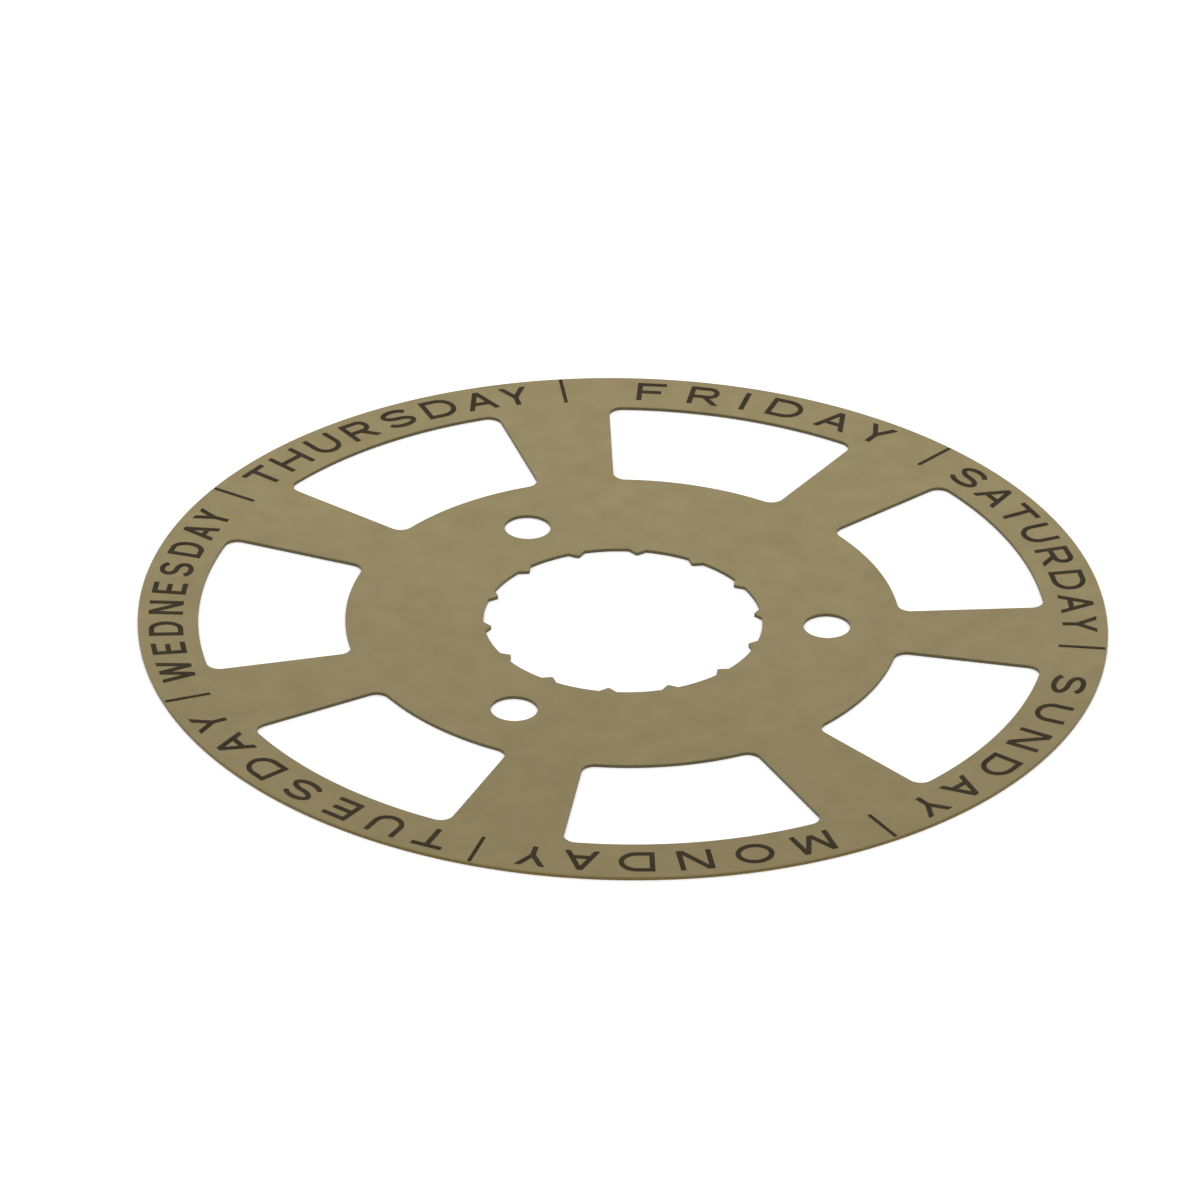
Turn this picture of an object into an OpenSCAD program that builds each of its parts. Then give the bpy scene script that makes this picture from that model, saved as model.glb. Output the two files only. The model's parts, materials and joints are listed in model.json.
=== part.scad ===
// Day disc of a calendar watch: one thin sheet-metal disc, turned one seventh of a turn at midnight,
// with seven windows, a toothed hub hole, three rivet holes and the seven day names printed on its rim.
// Frame: origin at the disc's centre on its underside, +Z towards the printed side,
// +X through the first rivet hole. All sizes in millimetres, all angles in degrees.

/* [Disc] */
// Outer diameter of the disc
disc_d = 26; // [24:0.5:32]
// Thickness of the sheet
disc_t = 0.1; // [0.08:0.01:0.3]

/* [Hub hole] */
// Diameter of the hub hole, between its nubs
hub_hole_d = 7.48; // [6.6:0.02:8]
// How far each nub stands into the hub hole
nub_h = 0.19; // [0.1:0.01:0.3]
// Width of each nub where it leaves the wall of the hole
nub_w = 0.56; // [0.4:0.01:0.8]
// Radius of a nub's tip
nub_tip_r = 0.06; // [0.03:0.01:0.08]
// Number of nubs for each day
nubs_per_day = 2; // [1:1:2]

/* [Rivet holes] */
// Number of rivet holes
rivet_count = 3; // [2:1:4]
// Diameter of the circle that the rivet holes lie on
rivet_circle_d = 10.94; // [10.2:0.02:11.6]
// Diameter of each rivet hole
rivet_hole_d = 1.26; // [0.8:0.02:1.4]

/* [Windows] */
// Diameter of the arc on the windows' hub side
window_inner_d = 14.88; // [14:0.02:16]
// Width of the printed rim outside the windows
rim_w = 1.62; // [1.5:0.02:2]
// Angle between the two straight sides of a window
window_angle = 35.7; // [28:0.1:40]
// Radius of the windows' corners
window_corner_r = 0.36; // [0.1:0.02:0.6]
// Direction of the window that lies next to the first rivet hole, counterclockwise
window_turn = 24.45; // [20:0.05:30]

/* [Print] */
// Thickness of the printed ink
ink_t = 0.01; // [0.005:0.005:0.02]
// Height of the letters
letter_h = 0.92; // [0.7:0.02:1.0]
// Width of the letters' strokes
letter_stroke = 0.14; // [0.1:0.01:0.18]
// Distance from the letters' tops to the edge of the disc
letter_margin = 0.29; // [0.2:0.01:0.4]
// Direction of the middle of the space for the name SUNDAY
sunday_turn = -29.1; // [-35:0.1:-20]
// Length of the marks that part the names
mark_len = 1.25; // [0.8:0.05:1.4]
// Width of the marks
mark_w = 0.1; // [0.06:0.01:0.16]
// Distance from the marks to the edge of the disc
mark_margin = 0.05; // [0.02:0.01:0.2]

/* [Hidden] */

// The names in the order that they follow each other clockwise. Each name has the angle that its
// letters are spread over, how far its middle is turned clockwise in its space, and how wide its
// letters are drawn.
DAYS = [
    ["SUNDAY", 38.3, 0.5, 1.04],
    ["MONDAY", 39.1, 0.6, 1.01],
    ["TUESDAY", 41.9, -0.4, 1.02],
    ["WEDNESDAY", 42.1, -0.6, 0.76],
    ["THURSDAY", 41.8, -0.2, 0.98],
    ["FRIDAY", 34.2, 0.9, 1.02],
    ["SATURDAY", 42.7, 0.2, 1.03]
];
// Each letter's width as a share of the letters' height; an I is as wide as its stroke
LETTERS = "ADEFHMNORSTUWY";
LETTER_WIDTHS = [1.00, 1.02, 0.80, 0.85, 1.01, 1.16, 0.98, 1.11, 0.92, 0.99, 0.91, 0.94, 1.47, 0.86];
// The letters with slanting or overhanging sides, and how much closer they stand on each side
OPEN_LETTERS = "ATY";
letter_tuck = 0.1;
// How far the middle of a slanting stroke's end is from the side of its letter
slant_inset = 0.6 * letter_stroke;

disc_r = disc_d / 2;
hub_hole_r = hub_hole_d / 2;
rivet_circle_r = rivet_circle_d / 2;
rivet_hole_r = rivet_hole_d / 2;
window_inner_r = window_inner_d / 2;
window_outer_r = disc_r - rim_w;
day_count = len(DAYS);
day_pitch = 360 / day_count;
nub_count = day_count * nubs_per_day;
nub_pitch = 360 / nub_count;
// One nub lies in the same direction as the last rivet hole
nub_turn = 360 * (rivet_count - 1) / rivet_count;
// How deep a nub's root is sunk in the wall of the hub hole
nub_root = 0.04;
// Half the angle that a nub's round tip takes in
nub_tip_angle = 50;
// How far a cutter runs past each face of the disc
cut = 0.5;
// Radius of the letters' base line, and of the middle of their height
base_r = disc_r - letter_margin - letter_h;
letter_mid_r = base_r + letter_h / 2;
// Number of straight steps along a window's arc, a corner, a letter's curve and a nub's tip
window_steps = 16;
corner_steps = 5;
curve_steps = 16;
tip_steps = 6;
$fn = 96;

metal = "#958761";
ink = "#2d2721";

// ---- outlines ----

// A point at a radius and a direction
function polar(r, a) = [r * cos(a), r * sin(a)];

// Points along a stretch of an ellipse
function arc(centre, rx, ry, from, to, steps) = [
    for (i = [0:steps])
        let (a = from + (to - from) * i / steps)
        centre + [rx * cos(a), ry * sin(a)]
];

// A sector of a ring, symmetrical about the +X direction, with all four corners rounded
function rounded_sector(inner, outer, half_angle, r) =
    let (
        outer_turn = half_angle - asin(r / (outer - r)),
        inner_turn = half_angle - asin(r / (inner + r)),
        side = half_angle + 90
    )
    concat(
        arc([0, 0], outer, outer, -outer_turn, outer_turn, window_steps),
        arc(polar(outer - r, outer_turn), r, r, outer_turn, side, corner_steps),
        arc(polar(inner + r, inner_turn), r, r, side, inner_turn + 180, corner_steps),
        arc([0, 0], inner, inner, inner_turn, -inner_turn, window_steps),
        arc(polar(inner + r, -inner_turn), r, r, 180 - inner_turn, 360 - side, corner_steps),
        arc(polar(outer - r, -outer_turn), r, r, -side, -outer_turn, corner_steps)
    );

// Outline of a letter's stroke along a smooth path, cut square at both ends
function stroke_outline(path) =
    let (
        r = letter_stroke / 2,
        last = len(path) - 1,
        steps = [for (i = [0:last - 1]) (path[i + 1] - path[i]) / norm(path[i + 1] - path[i])],
        sides = [
            for (i = [0:last])
                let (
                    before = steps[max(i - 1, 0)],
                    after = steps[min(i, last - 1)],
                    along = (before + after) / norm(before + after)
                )
                [-along[1], along[0]] * r / (along * after)
        ]
    )
    concat(
        [for (i = [0:last]) path[i] + sides[i]],
        [for (i = [last:-1:0]) path[i] - sides[i]]
    );

// ---- letters ----

// Outlines of a letter's strokes, in a box of width w and height h that stands on the base line
function letter_outlines(letter, w, h) =
    let (r = letter_stroke / 2, line_w = w - 2 * r, line_h = h - 2 * r)
    letter == "A" ? [
        slant([slant_inset, 0], [w / 2, h]), slant([w - slant_inset, 0], [w / 2, h]),
        arm(0.24 * w, 0.76 * w, 0.33 * h)
    ] :
    letter == "D" ? [stem(r, h), bowl(w, r, h - r, 0.52)] :
    letter == "E" ? [stem(r, h), arm(r, w, h - r), arm(r, 0.88 * w, r + 0.52 * line_h), arm(r, w, r)] :
    letter == "F" ? [stem(r, h), arm(r, w, h - r), arm(r, 0.83 * w, r + 0.48 * line_h)] :
    letter == "H" ? [stem(r, h), stem(w - r, h), arm(r, w - r, h / 2)] :
    letter == "I" ? [stem(w / 2, h)] :
    letter == "M" ? [
        slant([r, 0], [r + 0.08 * line_w, h]),
        slant([1.15 * r + 0.08 * line_w, h], [w / 2, 0.1 * h]),
        slant([w - r, 0], [w - r - 0.08 * line_w, h]),
        slant([w - 1.15 * r - 0.08 * line_w, h], [w / 2, 0.1 * h])
    ] :
    letter == "N" ? [stem(r, h), slant([1.4 * r, h], [w - 1.4 * r, 0]), stem(w - r, h)] :
    letter == "O" ? [half_ring(w, h, 90), half_ring(w, h, 270)] :
    letter == "R" ? [
        stem(r, h), bowl(0.95 * w, r + 0.44 * line_h, h - r, 0.32),
        slant([w / 2, r + 0.44 * line_h], [w - slant_inset, 0])
    ] :
    letter == "S" ? [s_outline(w, h)] :
    letter == "T" ? [arm(0, w, h - r), stem(w / 2, h)] :
    letter == "U" ? [u_outline(w, h)] :
    letter == "W" ? [
        slant([r, h], [0.28 * w, 0]), slant([0.28 * w, 0], [w / 2, h]),
        slant([w / 2, h], [0.72 * w, 0]), slant([0.72 * w, 0], [w - r, h])
    ] :
    [y_outline(w, h, r + 0.43 * line_h)];

// A straight stroke from one point to another, cut level at both ends
function slant(from, to) =
    let (half_w = [letter_stroke / 2 * norm(to - from) / abs(to[1] - from[1]), 0])
    [from - half_w, from + half_w, to + half_w, to - half_w];

// An upright stroke of full height
function stem(x, h) = slant([x, 0], [x, h]);

// A level stroke between two distances from the left
function arm(from, to, y) =
    let (r = letter_stroke / 2)
    [[from, y - r], [to, y - r], [to, y + r], [from, y + r]];

// A stroke that leaves the left stem at one height, turns round at the right and comes back lower;
// curved is the share of its width that is taken up by the turn
function bowl(w, low, high, curved) =
    let (r = letter_stroke / 2, curve_w = curved * (w - 2 * r))
    stroke_outline(concat(
        [[r, high]],
        arc([w - r - curve_w, (low + high) / 2], curve_w, (high - low) / 2, 90, -90, curve_steps),
        [[r, low]]
    ));

// Half of the letter O, counterclockwise from a direction
function half_ring(w, h, from) =
    let (centre = [w / 2, h / 2], inner_w = w - 2 * letter_stroke, inner_h = h - 2 * letter_stroke)
    concat(
        arc(centre, w / 2, h / 2, from, from + 180, curve_steps),
        arc(centre, inner_w / 2, inner_h / 2, from + 180, from, curve_steps)
    );

// The letter S: an upper bend, and a lower one that is a little wider
function s_outline(w, h) =
    let (
        r = letter_stroke / 2,
        line_w = w - 2 * r,
        line_h = h - 2 * r,
        upper = arc([w / 2, r + 0.75 * line_h], 0.46 * line_w, 0.25 * line_h, 18, 270, curve_steps),
        lower = arc([w / 2, r + 0.25 * line_h], 0.5 * line_w, 0.25 * line_h, 90, -162, curve_steps)
    )
    stroke_outline(concat(upper, [for (i = [1:curve_steps]) lower[i]]));

// The letter U: half an ellipse between two uprights
function u_outline(w, h) =
    let (r = letter_stroke / 2, bend_h = 0.44 * (h - 2 * r))
    stroke_outline(concat(
        [[r, h]],
        arc([w / 2, r + bend_h], w / 2 - r, bend_h, 180, 360, curve_steps),
        [[w - r, h]]
    ));

// The letter Y, whose arms meet on its stem at the height fork
function y_outline(w, h, fork) =
    let (
        r = letter_stroke / 2,
        lean = (w / 2 - slant_inset) / (h - fork),
        half_w = r * sqrt(1 + lean * lean),
        shoulder = fork + (r - half_w) / lean
    )
    [
        [slant_inset - half_w, h], [slant_inset + half_w, h], [w / 2, fork + half_w / lean],
        [w - slant_inset - half_w, h], [w - slant_inset + half_w, h],
        [w / 2 + r, shoulder], [w / 2 + r, 0], [w / 2 - r, 0], [w / 2 - r, shoulder]
    ];

// Full width of a letter, strokes included
function letter_width(letter, condense) =
    letter == "I" ? letter_stroke : LETTER_WIDTHS[search(letter, LETTERS)[0]] * letter_h * condense;

// Width that a letter takes up in its name
function letter_advance(letter, condense) =
    letter_width(letter, condense) - (len(search(letter, OPEN_LETTERS)) > 0 ? 2 * letter_tuck : 0);

// Sum of the first numbers of a list
function sum(list, count, i = 0) = i < count ? list[i] + sum(list, count, i + 1) : 0;

// Direction of the middle of a day's space
function day_turn(day) = sunday_turn - day * day_pitch;

// ---- sub-parts ----

module nub() {
    tip = [hub_hole_r - nub_h + nub_tip_r, 0];
    linear_extrude(disc_t)
        polygon(concat(
            [[hub_hole_r + nub_root, nub_w / 2]],
            arc(tip, nub_tip_r, nub_tip_r, 180 - nub_tip_angle, 180 + nub_tip_angle, tip_steps),
            [[hub_hole_r + nub_root, -nub_w / 2]]
        ));
}

module rivet_hole() {
    translate([rivet_circle_r, 0, -cut]) cylinder(r = rivet_hole_r, h = disc_t + 2 * cut);
}

module window() {
    translate([0, 0, -cut])
        linear_extrude(disc_t + 2 * cut)
            polygon(rounded_sector(window_inner_r, window_outer_r, window_angle / 2, window_corner_r));
}

module disc_plate() {
    color(metal)
        difference() {
            cylinder(r = disc_r, h = disc_t);
            translate([0, 0, -cut]) cylinder(r = hub_hole_r, h = disc_t + 2 * cut);
            for (i = [0:rivet_count - 1])
                rotate(i * 360 / rivet_count) rivet_hole();
            for (i = [0:day_count - 1])
                rotate(window_turn + i * day_pitch) window();
        }
    color(metal)
        for (i = [0:nub_count - 1])
            rotate(nub_turn + i * nub_pitch) nub();
}

module letter(name, condense) {
    w = letter_width(name, condense);
    for (outline = letter_outlines(name, w, letter_h))
        translate([-w / 2, base_r, disc_t])
            linear_extrude(ink_t)
                polygon(outline);
}

module day_name(day) {
    name = DAYS[day][0];
    condense = DAYS[day][3];
    advances = [for (c = name) letter_advance(c, condense)];
    letters = len(name);
    name_w = DAYS[day][1] * PI / 180 * letter_mid_r;
    gap = (name_w - sum(advances, letters)) / (letters - 1);
    color(ink)
        for (i = [0:letters - 1]) {
            x = sum(advances, i) + i * gap + advances[i] / 2 - name_w / 2;
            turn = day_turn(day) - DAYS[day][2] - x / letter_mid_r * 180 / PI;
            rotate(turn - 90) letter(name[i], condense);
        }
}

// The mark that stands before a day's name, halfway to the name of the day before
module day_mark(day) {
    color(ink)
        rotate(day_turn(day) + day_pitch / 2)
            translate([disc_r - mark_margin - mark_len, -mark_w / 2, disc_t])
                cube([mark_len, mark_w, ink_t]);
}

disc_plate();
day_name(0);  // sunday_name
day_name(1);  // monday_name
day_name(2);  // tuesday_name
day_name(3);  // wednesday_name
day_name(4);  // thursday_name
day_name(5);  // friday_name
day_name(6);  // saturday_name
day_mark(0);  // sunday_mark
day_mark(1);  // monday_mark
day_mark(2);  // tuesday_mark
day_mark(3);  // wednesday_mark
day_mark(4);  // thursday_mark
day_mark(5);  // friday_mark
day_mark(6);  // saturday_mark
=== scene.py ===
"""Looks of the day disc of a calendar watch: a stamped, satin-finished brass disc with printed names.

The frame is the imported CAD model: origin at the disc's centre on its underside, +Z towards the
printed side, +X through the first rivet hole. Lengths in the constants and outlines are in
millimetres, and finished_object scales each finished mesh to metres. Angles are in degrees.
"""

import json
import math

import bmesh
import bpy
from mathutils import Matrix, Quaternion, Vector


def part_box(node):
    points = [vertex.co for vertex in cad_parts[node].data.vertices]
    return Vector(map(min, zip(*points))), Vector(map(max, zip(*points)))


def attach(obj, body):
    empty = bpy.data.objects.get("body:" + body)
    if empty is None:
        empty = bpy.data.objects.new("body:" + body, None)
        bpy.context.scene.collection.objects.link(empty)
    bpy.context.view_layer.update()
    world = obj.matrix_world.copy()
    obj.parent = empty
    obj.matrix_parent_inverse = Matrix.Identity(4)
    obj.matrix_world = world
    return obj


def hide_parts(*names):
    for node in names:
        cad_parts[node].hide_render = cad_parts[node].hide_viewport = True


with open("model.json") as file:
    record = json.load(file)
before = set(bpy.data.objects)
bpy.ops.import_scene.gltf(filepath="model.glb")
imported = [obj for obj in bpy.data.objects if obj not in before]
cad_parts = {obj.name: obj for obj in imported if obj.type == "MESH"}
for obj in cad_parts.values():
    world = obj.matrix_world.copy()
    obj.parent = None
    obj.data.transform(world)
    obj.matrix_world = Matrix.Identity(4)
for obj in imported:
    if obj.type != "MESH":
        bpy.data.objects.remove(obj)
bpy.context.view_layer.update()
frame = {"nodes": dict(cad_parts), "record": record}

MM = 0.001  # one millimetre in metres
BODY = "root"
MOUNTS = {mount["name"]: mount for mount in frame["record"]["mounts"]}

# ---- the disc ----

PLATE_TOP_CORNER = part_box("disc_plate")[1]
DISC_R = PLATE_TOP_CORNER.x / MM
DISC_T = PLATE_TOP_CORNER.z / MM
RIM_W = 1.62  # from the windows to the edge of the disc

HUB_HOLE_R = MOUNTS["hub_hole"]["dims"]["r_mm"]
NUB_COUNT = 14
NUB_TURN = 240  # direction of the first nub
NUB_POINT_H = 0.21  # height of a nub over the hole's wall, before its tip is rounded
NUB_HALF_W = 0.232  # half a nub's width at the wall
NUB_TIP_R = 0.06
NUB_ROOT_R = 0.03

RIVETS = MOUNTS["rivet_holes"]["dims"]

WINDOW_COUNT = 7
WINDOW_INNER_R = 7.44
WINDOW_OUTER_R = DISC_R - RIM_W
WINDOW_ANGLE = 35.7  # between a window's two straight sides
WINDOW_CORNER_R = 0.36
WINDOW_TURN = 24.45  # direction of the first window

# The press rolls the sheet's upper edge over a little, by a width and a height, and leaves a small
# radius under it
RIM_ROLL = (0.035, 0.02)
HOLE_ROLL = (0.02, 0.015)
LOWER_EDGE_R = 0.006
LOWER_EDGE_MIDDLE = 0.3  # share of the radius by which the roundness's middle lies in and up
INK_EDGE_R = 0.004

# Straight steps round each stretch of an outline
RIM_STEPS = 720
RIVET_STEPS = 96
WINDOW_OUTER_STEPS = 48
WINDOW_INNER_STEPS = 36
WINDOW_CORNER_STEPS = 14
HUB_WALL_STEPS = 20  # between two nubs
NUB_TIP_STEPS = 10
NUB_ROOT_STEPS = 6
NUB_CLEARANCE = 0.6  # how far past a nub's side its root's curve reaches, in degrees
ROLL_STEPS = 6

# ---- stage, light and camera ----

FLOOR_SIZE = 2000
FLOOR_DROP = 0.005  # keeps the floor just clear of the disc's underside
FLOOR_GLOW = 0.22  # makes the white table a little overexposed, so that no contact shade is seen

CAMERA_AZIMUTH = 1.26
CAMERA_ELEVATION = 30.95
CAMERA_ROLL = 0.987
CAMERA_DISTANCE = 352.65
CAMERA_AIM = (-0.648, 0.980)  # from the disc's centre, on its printed side
SENSOR_W = 36
LENS = 394.72  # focal length
CLIP_RANGE = (0.01, 10)  # in metres

# ---- outlines: lists of points, counterclockwise round the disc and clockwise round a hole, so
# ---- that the sheet always lies to their left


def polar(radius, angle):
    """The point at a radius and an angle in degrees."""
    return Vector((radius * math.cos(math.radians(angle)), radius * math.sin(math.radians(angle))))


def arc(centre, radius, start, end, steps):
    """Points along an arc, both ends included."""
    return [centre + polar(radius, start + (end - start) * i / steps) for i in range(steps + 1)]


def circle(centre, radius, steps):
    """Points round a circle, counterclockwise."""
    return arc(centre, radius, 0, 360, steps)[:-1]


def turned(points, angle):
    """The points turned about the disc's centre."""
    turn = Matrix.Rotation(math.radians(angle), 2)
    return [turn @ point for point in points]


def fillet(before, corner, after, radius, steps):
    """Points of the arc that rounds a corner between two straight sides."""
    to_before = (before - corner).normalized()
    to_after = (after - corner).normalized()
    half = to_before.angle(to_after) / 2
    centre = corner + (to_before + to_after).normalized() * radius / math.sin(half)
    first = corner + to_before * radius / math.tan(half) - centre
    last = corner + to_after * radius / math.tan(half) - centre
    sweep = first.angle_signed(last)
    return [centre + Matrix.Rotation(-sweep * i / steps, 2) @ first for i in range(steps + 1)]


def window_outline():
    """One window, symmetrical about the +X direction, with its four corners rounded."""
    r = WINDOW_CORNER_R
    half = WINDOW_ANGLE / 2
    outer_turn = half - math.degrees(math.asin(r / (WINDOW_OUTER_R - r)))
    inner_turn = half - math.degrees(math.asin(r / (WINDOW_INNER_R + r)))
    side = half + 90
    origin = Vector((0, 0))
    steps = WINDOW_CORNER_STEPS
    points = arc(origin, WINDOW_OUTER_R, -outer_turn, outer_turn, WINDOW_OUTER_STEPS)
    points += arc(polar(WINDOW_OUTER_R - r, outer_turn), r, outer_turn, side, steps)[1:]
    points += arc(polar(WINDOW_INNER_R + r, inner_turn), r, side, inner_turn + 180, steps)
    points += arc(origin, WINDOW_INNER_R, inner_turn, -inner_turn, WINDOW_INNER_STEPS)[1:-1]
    points += arc(polar(WINDOW_INNER_R + r, -inner_turn), r, 180 - inner_turn, 360 - side, steps)
    points += arc(polar(WINDOW_OUTER_R - r, -outer_turn), r, -side, -outer_turn, steps)[:-1]
    return points


def hub_outline():
    """The hub hole with its nubs, counterclockwise."""
    pitch = 360 / NUB_COUNT
    root_turn = math.degrees(math.asin(NUB_HALF_W / HUB_HOLE_R))
    tip = polar(HUB_HOLE_R - NUB_POINT_H, 0)
    low, high = polar(HUB_HOLE_R, -root_turn), polar(HUB_HOLE_R, root_turn)
    wall_before = low + polar(1, -root_turn - 90)
    wall_after = high + polar(1, root_turn + 90)
    nub = fillet(wall_before, low, tip, NUB_ROOT_R, NUB_ROOT_STEPS)
    nub += fillet(low, tip, high, NUB_TIP_R, NUB_TIP_STEPS)
    nub += fillet(tip, high, wall_after, NUB_ROOT_R, NUB_ROOT_STEPS)
    clear = root_turn + NUB_CLEARANCE
    wall = arc(Vector((0, 0)), HUB_HOLE_R, clear, pitch - clear, HUB_WALL_STEPS)
    points = []
    for i in range(NUB_COUNT):
        points += turned(nub + wall, NUB_TURN + i * pitch)
    return points


def plate_outlines():
    """Every outline of the plate with its kind: the rim first, then the holes."""
    rim = circle(Vector((0, 0)), DISC_R, RIM_STEPS)
    holes = [hub_outline()]
    for i in range(RIVETS["count"]):
        centre = polar(RIVETS["pcd_mm"] / 2, i * 360 / RIVETS["count"])
        holes.append(circle(centre, RIVETS["hole_r_mm"], RIVET_STEPS))
    for i in range(WINDOW_COUNT):
        holes.append(turned(window_outline(), WINDOW_TURN + i * 360 / WINDOW_COUNT))
    return [("rim", rim)] + [("hole", hole[::-1]) for hole in holes]


# ---- meshes ----


def inset(points, distance):
    """An outline moved into the sheet, to its left, by a distance."""
    moved = []
    for i, point in enumerate(points):
        before = (point - points[i - 1]).normalized()
        after = (points[(i + 1) % len(points)] - point).normalized()
        along = (before + after).normalized()
        left = Vector((-along.y, along.x))
        moved.append(point + left * distance / along.dot(after))
    return moved


def edge_profile(roll):
    """Distance in from the wall and height of each ring of an edge, from the underside up."""
    roll_w, roll_h = roll
    middle = LOWER_EDGE_MIDDLE * LOWER_EDGE_R
    profile = [(LOWER_EDGE_R, 0), (middle, middle), (0, LOWER_EDGE_R)]
    for i in range(ROLL_STEPS + 1):
        a = math.radians(90 * i / ROLL_STEPS)
        profile.append((roll_w * (1 - math.cos(a)), DISC_T - roll_h * (1 - math.sin(a))))
    return profile


def finished_object(name, bm, materials):
    """An object in metres from a bmesh in millimetres."""
    bmesh.ops.scale(bm, vec=(MM, MM, MM), verts=bm.verts)
    mesh = bpy.data.meshes.new(name)
    bm.to_mesh(mesh)
    bm.free()
    piece = bpy.data.objects.new(name, mesh)
    bpy.context.scene.collection.objects.link(piece)
    for material in materials:
        mesh.materials.append(material)
    return piece


FACE, RIM_WALL, HOLE_WALL, UNDERSIDE = range(4)
WALL_BANDS = 3  # the bands of an edge's profile that are sheared wall: all under the rolled edge


def make_plate(materials):
    """The stamped plate: edges rolled over at the top, and flat faces filled between them."""
    bm = bmesh.new()
    top_edges, bottom_edges = [], []
    for kind, outline in plate_outlines():
        wall = RIM_WALL if kind == "rim" else HOLE_WALL
        profile = edge_profile(RIM_ROLL if kind == "rim" else HOLE_ROLL)
        rings = []
        for distance, height in profile:
            ring = [bm.verts.new((p.x, p.y, height)) for p in inset(outline, distance)]
            rings.append(ring)
        for level, (lower, upper) in enumerate(zip(rings, rings[1:])):
            for i in range(len(outline)):
                j = (i + 1) % len(outline)
                face = bm.faces.new((lower[i], lower[j], upper[j], upper[i]))
                face.smooth = True
                face.material_index = wall if level < WALL_BANDS else FACE
        for edges, ring in ((bottom_edges, rings[0]), (top_edges, rings[-1])):
            edges += [bm.edges.get((ring[i - 1], ring[i])) for i in range(len(ring))]
    for edges, index, up in ((top_edges, FACE, 1), (bottom_edges, UNDERSIDE, -1)):
        made = bmesh.ops.triangle_fill(bm, use_beauty=True, edges=edges, normal=(0, 0, up))
        for face in made["geom"]:
            if isinstance(face, bmesh.types.BMFace):
                face.material_index = index
                if face.normal.z * up < 0:
                    face.normal_flip()
    return finished_object("disc_plate_stamped", bm, materials)


SAME_PLACE = 1e-4  # points closer than this are one point
FLAT_ANGLE = 1  # faces that meet at less than this are one face
MOST_CORNERS = 4  # faces with more corners are cut into triangles
LEVEL = 0.99  # faces whose normal rises or falls more steeply than this are the level ones


def make_print(node, material):
    """The print of a CAD node, as a film of ink with soft upper edges."""
    bm = bmesh.new()
    bm.from_mesh(frame["nodes"][node].data)
    bmesh.ops.scale(bm, vec=(1 / MM, 1 / MM, 1 / MM), verts=bm.verts)
    bmesh.ops.remove_doubles(bm, verts=bm.verts, dist=SAME_PLACE)
    flat = math.radians(FLAT_ANGLE)
    bmesh.ops.dissolve_limit(bm, angle_limit=flat, verts=bm.verts, edges=bm.edges)
    top = max(vert.co.z for vert in bm.verts)
    on_top = {face for face in bm.faces if min(v.co.z for v in face.verts) > top - SAME_PLACE}
    outline = [edge for edge in bm.edges if sum(face in on_top for face in edge.link_faces) == 1]
    bmesh.ops.bevel(bm, geom=outline, offset=INK_EDGE_R, segments=3, profile=0.5, affect="EDGES")
    many_sided = [face for face in bm.faces if len(face.verts) > MOST_CORNERS]
    bmesh.ops.triangulate(bm, faces=many_sided)
    for face in bm.faces:
        face.smooth = abs(face.normal.z) < LEVEL
        face.material_index = 0
    return finished_object(node + "_ink", bm, [material])


# ---- materials ----

NOISE_LOW, NOISE_HIGH = 0.3, 0.7  # noise seldom leaves these


class Nodes:
    """A material's node tree, with short ways to add the nodes that these materials share."""

    def __init__(self, name):
        self.material = bpy.data.materials.new(name)
        self.material.use_nodes = True
        self.tree = self.material.node_tree
        self.shader = self.tree.nodes["Principled BSDF"]
        coordinates = self.tree.nodes.new("ShaderNodeTexCoord")
        in_mm = self.tree.nodes.new("ShaderNodeVectorMath")
        in_mm.operation = "SCALE"
        in_mm.inputs["Scale"].default_value = 1 / MM
        self.link(coordinates.outputs["Object"], in_mm.inputs[0])
        self.place = in_mm.outputs[0]

    def link(self, output, to):
        self.tree.links.new(output, to)

    def noise(self, size, detail=2, stretch=(1, 1, 1)):
        """Noise from 0 to 1 whose features are about size millimetres across."""
        mapping = self.tree.nodes.new("ShaderNodeMapping")
        mapping.inputs["Scale"].default_value = stretch
        self.link(self.place, mapping.inputs["Vector"])
        texture = self.tree.nodes.new("ShaderNodeTexNoise")
        texture.inputs["Scale"].default_value = 1 / size
        texture.inputs["Detail"].default_value = detail
        self.link(mapping.outputs["Vector"], texture.inputs["Vector"])
        return texture.outputs["Fac"]

    def spread(self, value, low, high):
        """The stretch of a noise's values that matters, spread over low to high."""
        ranged = self.tree.nodes.new("ShaderNodeMapRange")
        ranged.inputs["From Min"].default_value = NOISE_LOW
        ranged.inputs["From Max"].default_value = NOISE_HIGH
        ranged.inputs["To Min"].default_value = low
        ranged.inputs["To Max"].default_value = high
        self.link(value, ranged.inputs["Value"])
        return ranged.outputs["Result"]

    def mix(self, share, first, second):
        """A colour between two, each of which is a colour or another node's output."""
        mixed = self.tree.nodes.new("ShaderNodeMix")
        mixed.data_type = "RGBA"
        self.link(share, mixed.inputs["Factor"])
        for socket, colour in ((mixed.inputs[6], first), (mixed.inputs[7], second)):
            if isinstance(colour, tuple):
                socket.default_value = (*colour, 1)
            else:
                self.link(colour, socket)
        return mixed.outputs[2]

    def bump(self, height, depth):
        """Relief of a depth in millimetres."""
        relief = self.tree.nodes.new("ShaderNodeBump")
        relief.inputs["Distance"].default_value = depth * MM
        self.link(height, relief.inputs["Height"])
        return relief.outputs["Normal"]

    def finish(self, colour, roughness, normal, metallic=0.0):
        self.link(colour, self.shader.inputs["Base Color"])
        self.link(roughness, self.shader.inputs["Roughness"])
        self.link(normal, self.shader.inputs["Normal"])
        self.shader.inputs["Metallic"].default_value = metallic
        return self.material


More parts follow.
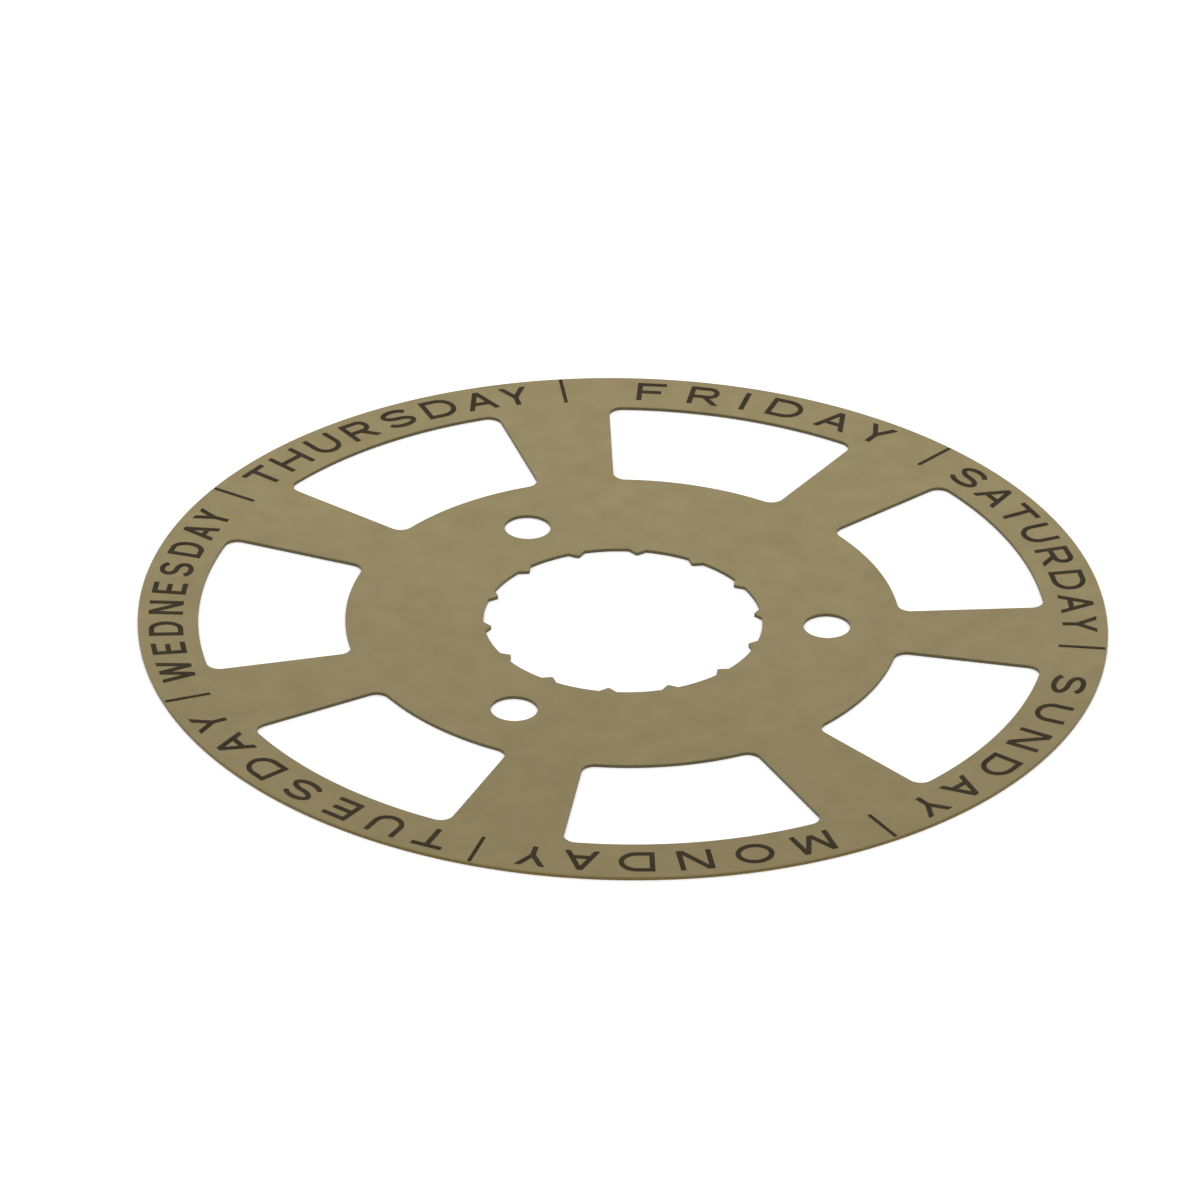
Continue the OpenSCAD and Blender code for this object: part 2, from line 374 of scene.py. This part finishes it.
def satin_brass(name, dark, light, grain):
    """Champagne brass with a fine blasted grain and faint cloudy patches."""
    nodes = Nodes(name)
    clouds = nodes.spread(nodes.noise(3.5, detail=3), 0, 1)
    mottle = nodes.spread(nodes.noise(0.3, detail=4), 0, 1)
    toned = nodes.mix(clouds, dark, light)
    mid = tuple((a + b) / 2 for a, b in zip(dark, light))
    colour = nodes.mix(nodes.spread(mottle, 0, 0.5), toned, mid)
    roughness = nodes.spread(nodes.noise(0.8, detail=3), 0.42, 0.50)
    relief = nodes.bump(nodes.noise(0.05), depth=grain)
    return nodes.finish(colour, roughness, relief, metallic=1.0)


def cut_edge(name, dark, light, roughness):
    """A sheared wall: streaked from face to face by the punch, between two colours that its callers
    make darker than the face's as painted shade.
    """
    nodes = Nodes(name)
    streaks = nodes.noise(0.04, stretch=(1, 1, 0.15))
    colour = nodes.mix(nodes.spread(streaks, 0, 1), dark, light)
    rough = nodes.spread(nodes.noise(0.1), roughness - 0.08, roughness + 0.08)
    relief = nodes.bump(streaks, depth=0.003)
    return nodes.finish(colour, rough, relief, metallic=1.0)


def printing_ink():
    """Thin dark brown ink, a little uneven in density."""
    nodes = Nodes("printing_ink")
    density = nodes.spread(nodes.noise(0.7, detail=3), 0, 1)
    colour = nodes.mix(density, (0.031, 0.023, 0.011), (0.045, 0.034, 0.017))
    nodes.shader.inputs["Specular IOR Level"].default_value = 0.03
    roughness = nodes.spread(nodes.noise(0.12, detail=3), 0.42, 0.6)
    relief = nodes.bump(nodes.noise(0.03), depth=0.0015)
    return nodes.finish(colour, roughness, relief)


# ---- stage ----


def make_floor():
    """A pale floor, seen only from above, so that the disc can also be looked at from below."""
    bm = bmesh.new()
    bmesh.ops.create_grid(bm, x_segments=1, y_segments=1, size=FLOOR_SIZE)
    floor = finished_object("floor", bm, [])
    floor.location.z = -FLOOR_DROP * MM
    material = bpy.data.materials.new("floor_white")
    material.use_nodes = True
    tree = material.node_tree
    shader = tree.nodes["Principled BSDF"]
    shader.inputs["Base Color"].default_value = (0.96, 0.96, 0.96, 1)
    shader.inputs["Roughness"].default_value = 1.0
    shader.inputs["Specular IOR Level"].default_value = 0.0
    shader.inputs["Emission Color"].default_value = (1, 1, 1, 1)
    shader.inputs["Emission Strength"].default_value = FLOOR_GLOW
    geometry = tree.nodes.new("ShaderNodeNewGeometry")
    clear = tree.nodes.new("ShaderNodeBsdfTransparent")
    choice = tree.nodes.new("ShaderNodeMixShader")
    tree.links.new(geometry.outputs["Backfacing"], choice.inputs[0])
    tree.links.new(shader.outputs[0], choice.inputs[1])
    tree.links.new(clear.outputs[0], choice.inputs[2])
    tree.links.new(choice.outputs[0], tree.nodes["Material Output"].inputs["Surface"])
    floor.data.materials.append(material)
    floor.visible_glossy = False


def make_world(horizon, zenith):
    """Even white light from all round, brightest overhead."""
    world = bpy.data.worlds.new("studio")
    bpy.context.scene.world = world
    world.use_nodes = True
    tree = world.node_tree
    coordinates = tree.nodes.new("ShaderNodeTexCoord")
    split = tree.nodes.new("ShaderNodeSeparateXYZ")
    tree.links.new(coordinates.outputs["Generated"], split.inputs[0])
    squared = tree.nodes.new("ShaderNodeMath")
    squared.operation = "POWER"
    squared.inputs[1].default_value = 2
    tree.links.new(split.outputs["Z"], squared.inputs[0])
    ranged = tree.nodes.new("ShaderNodeMapRange")
    ranged.inputs["To Min"].default_value = horizon
    ranged.inputs["To Max"].default_value = zenith
    tree.links.new(squared.outputs[0], ranged.inputs["Value"])
    background = tree.nodes["Background"]
    background.inputs["Color"].default_value = (1, 1, 1, 1)
    tree.links.new(ranged.outputs["Result"], background.inputs["Strength"])


def make_strip_light(name, place, width, height, power):
    """A long soft light that faces the disc, and that isn't seen itself. Its sizes are in metres."""
    data = bpy.data.lights.new(name, "AREA")
    data.shape = "RECTANGLE"
    data.size, data.size_y = width, height
    data.energy = power
    light = bpy.data.objects.new(name, data)
    bpy.context.scene.collection.objects.link(light)
    light.location = place
    light.visible_camera = False
    light.rotation_mode = "QUATERNION"
    light.rotation_quaternion = (-Vector(place)).to_track_quat("-Z", "Y")


def make_camera():
    """A camera far back with a long lens, at the photograph's angle."""
    azimuth, elevation = math.radians(CAMERA_AZIMUTH), math.radians(CAMERA_ELEVATION)
    back = Vector((
        math.sin(azimuth) * math.cos(elevation),
        -math.cos(azimuth) * math.cos(elevation),
        math.sin(elevation),
    ))
    face_centre = Vector((0, 0, DISC_T * MM))
    data = bpy.data.cameras.new("camera")
    data.sensor_width = SENSOR_W
    data.lens = LENS
    data.clip_start, data.clip_end = CLIP_RANGE
    camera = bpy.data.objects.new("camera", data)
    bpy.context.scene.collection.objects.link(camera)
    camera.location = face_centre + back * (CAMERA_DISTANCE * MM)
    aim = face_centre + Vector((*CAMERA_AIM, 0)) * MM
    camera.rotation_mode = "QUATERNION"
    level = (aim - camera.location).to_track_quat("-Z", "Y")
    camera.rotation_quaternion = level @ Quaternion((0, 0, 1), math.radians(CAMERA_ROLL))
    bpy.context.scene.camera = camera


# ---- the scene ----

make_camera()
make_floor()
make_world(horizon=0.88, zenith=1.08)
make_strip_light(
    "back_strip", place=(-0.0005, 0.0307, 0.0154), width=0.12, height=0.008, power=0.0030
)
bpy.context.scene.view_settings.view_transform = "Standard"

plate_materials = [
    satin_brass(
        "satin_brass", dark=(0.229, 0.184, 0.086), light=(0.246, 0.199, 0.094), grain=0.0012
    ),
    # painted shade: the rim wall's colours are darker than the face's brass to stand in for the shade
    # on the wall; its streaks are the punch's real marks
    cut_edge(
        "rim_wall_brass_painted_shade", dark=(0.150, 0.110, 0.040), light=(0.210, 0.155, 0.060), roughness=0.4
    ),
    # painted shade: the walls of the hub hole, rivet holes and windows are darker than the face's
    # brass to stand in for the shade in the openings; their streaks are the punch's real marks
    cut_edge(
        "hole_wall_brass_painted_shade", dark=(0.102, 0.088, 0.049), light=(0.147, 0.129, 0.074), roughness=0.5
    ),
    satin_brass(
        "underside_brass", dark=(0.235, 0.189, 0.088), light=(0.258, 0.209, 0.099), grain=0.002
    ),
]
plate = make_plate(plate_materials)
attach(plate, BODY)
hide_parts("disc_plate")

ink = printing_ink()
for node in sorted(frame["nodes"]):
    if node != "disc_plate":
        film = make_print(node, ink)
        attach(film, BODY)
        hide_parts(node)
